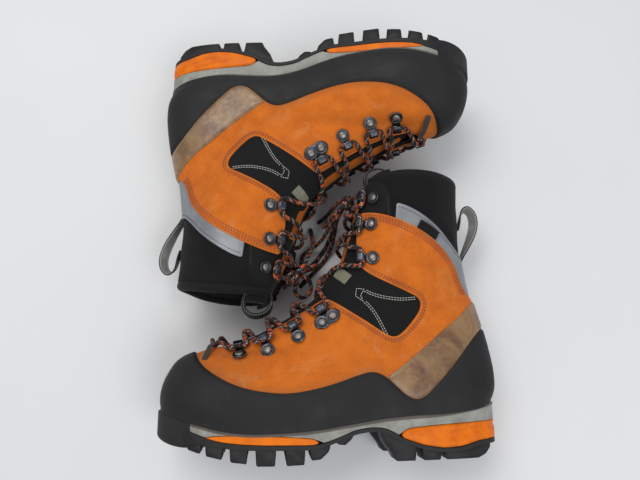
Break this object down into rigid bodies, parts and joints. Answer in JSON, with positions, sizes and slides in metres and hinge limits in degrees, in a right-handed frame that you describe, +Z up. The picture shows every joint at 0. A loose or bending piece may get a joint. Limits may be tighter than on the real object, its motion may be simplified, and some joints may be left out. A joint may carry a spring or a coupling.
{
  "type": "pair of mountaineering boots",
  "caption": "Pair of high laced mountaineering boots with leather uppers, rubber rands, stiff lugged soles and padded collars, lying on their sides.",
  "frame": {"origin": "centre of the pair's footprint on the surface that it lies on", "axes": "+Z up from the table; the boots lie on their sides, heel to toe; +Y from the left boot's sole towards the right boot's sole; +X from the left boot's toe towards its heel"},
  "size_m": [0.325, 0.41, 0.1183],
  "materials": {
    "black_rubber": "matte, scuffed",
    "grey_midsole": "satin moulded foam",
    "orange_insert": "satin moulded foam",
    "board": "matte board",
    "footbed": "felted foam",
    "black_fabric": "fine vertical ribs",
    "orange_leather": "suede",
    "tan_band": "satin, slightly cloudy",
    "grey_fabric": "fine reflective weave",
    "webbing": "flat woven webbing",
    "gunmetal": "dark polished",
    "lace_cord": "round braid, black with orange-red and white flecks"
  },
  "bodies": {
    "left_boot": {"left_outsole": "black_rubber", "left_midsole": "grey_midsole", "left_heel_wedge": "orange_insert", "left_forefoot_wedge": "orange_insert", "left_lasting_board": "board", "left_footbed": "footbed", "left_inner_boot": "black_fabric", "left_leather_upper": "orange_leather", "left_rand": "black_rubber", "left_heel_band": "tan_band", "left_reflective_band": "grey_fabric", "left_eyelet_1_outer": "gunmetal", "left_eyelet_1_inner": "gunmetal", "left_eyelet_2_outer": "gunmetal", "left_eyelet_2_inner": "gunmetal", "left_eyelet_3_outer": "gunmetal", "left_eyelet_3_inner": "gunmetal", "left_ankle_lock_outer": "gunmetal", "left_ankle_lock_inner": "gunmetal", "left_lower_hook_outer": "gunmetal", "left_lower_hook_inner": "gunmetal", "left_middle_hook_outer": "gunmetal", "left_middle_hook_inner": "gunmetal", "left_collar_hook_outer": "gunmetal", "left_collar_hook_inner": "gunmetal", "left_lace": "lace_cord", "left_lace_bow": "lace_cord"},
    "left_tongue": {"left_tongue": "black_fabric"},
    "left_tongue_loop": {"left_tongue_pull_loop": "webbing"},
    "left_heel_loop": {"left_heel_pull_loop": "webbing"},
    "right_boot": {"right_outsole": "black_rubber", "right_midsole": "grey_midsole", "right_heel_wedge": "orange_insert", "right_forefoot_wedge": "orange_insert", "right_lasting_board": "board", "right_footbed": "footbed", "right_inner_boot": "black_fabric", "right_leather_upper": "orange_leather", "right_rand": "black_rubber", "right_heel_band": "tan_band", "right_reflective_band": "grey_fabric", "right_eyelet_1_outer": "gunmetal", "right_eyelet_1_inner": "gunmetal", "right_eyelet_2_outer": "gunmetal", "right_eyelet_2_inner": "gunmetal", "right_eyelet_3_outer": "gunmetal", "right_eyelet_3_inner": "gunmetal", "right_ankle_lock_outer": "gunmetal", "right_ankle_lock_inner": "gunmetal", "right_lower_hook_outer": "gunmetal", "right_lower_hook_inner": "gunmetal", "right_middle_hook_outer": "gunmetal", "right_middle_hook_inner": "gunmetal", "right_collar_hook_outer": "gunmetal", "right_collar_hook_inner": "gunmetal", "right_lace": "lace_cord", "right_lace_bow": "lace_cord"},
    "right_tongue": {"right_tongue": "black_fabric"},
    "right_tongue_loop": {"right_tongue_pull_loop": "webbing"},
    "right_heel_loop": {"right_heel_pull_loop": "webbing"}
  },
  "joints": [
    {"name": "right_boot_slide", "type": "slide", "parent": "left_boot", "child": "right_boot", "axis": [-1, 0, 0], "range_m": [0, 0.15]},
    {"name": "left_tongue_push", "type": "hinge", "parent": "left_boot", "child": "left_tongue", "pos_m": [-0.09276, -0.11677, 0.06143], "axis": [-0.0967, 0.0157, -0.9952], "range_deg": [0, 12], "stiffness_Nm_per_rad": 0.5},
    {"name": "right_tongue_push", "type": "hinge", "parent": "right_boot", "child": "right_tongue", "pos_m": [0.09251, 0.11305, 0.06093], "axis": [0.0899, -0.0216, -0.9957], "range_deg": [0, 12], "stiffness_Nm_per_rad": 0.5},
    {"name": "left_tongue_loop_swing", "type": "hinge", "parent": "left_tongue", "child": "left_tongue_loop", "pos_m": [0.0474, 0.05085, 0.05047], "axis": [-0.3407, 0.939, 0.048], "range_deg": [-15, 15], "stiffness_Nm_per_rad": 0.02},
    {"name": "right_tongue_loop_swing", "type": "hinge", "parent": "right_tongue", "child": "right_tongue_loop", "pos_m": [-0.05205, -0.05088, 0.05142], "axis": [0.3163, -0.9474, 0.0491], "range_deg": [-15, 15], "stiffness_Nm_per_rad": 0.02},
    {"name": "left_heel_loop_swing", "type": "hinge", "parent": "left_boot", "child": "left_heel_loop", "pos_m": [0.14117, 0.00094, 0.04056], "axis": [-0.01, 0.9998, 0.0168], "range_deg": [-35, 35], "stiffness_Nm_per_rad": 0.02},
    {"name": "right_heel_loop_swing", "type": "hinge", "parent": "right_boot", "child": "right_heel_loop", "pos_m": [-0.14455, 0.00142, 0.04194], "axis": [-0.016, -0.9997, 0.0202], "range_deg": [-35, 35], "stiffness_Nm_per_rad": 0.02}
  ]
}
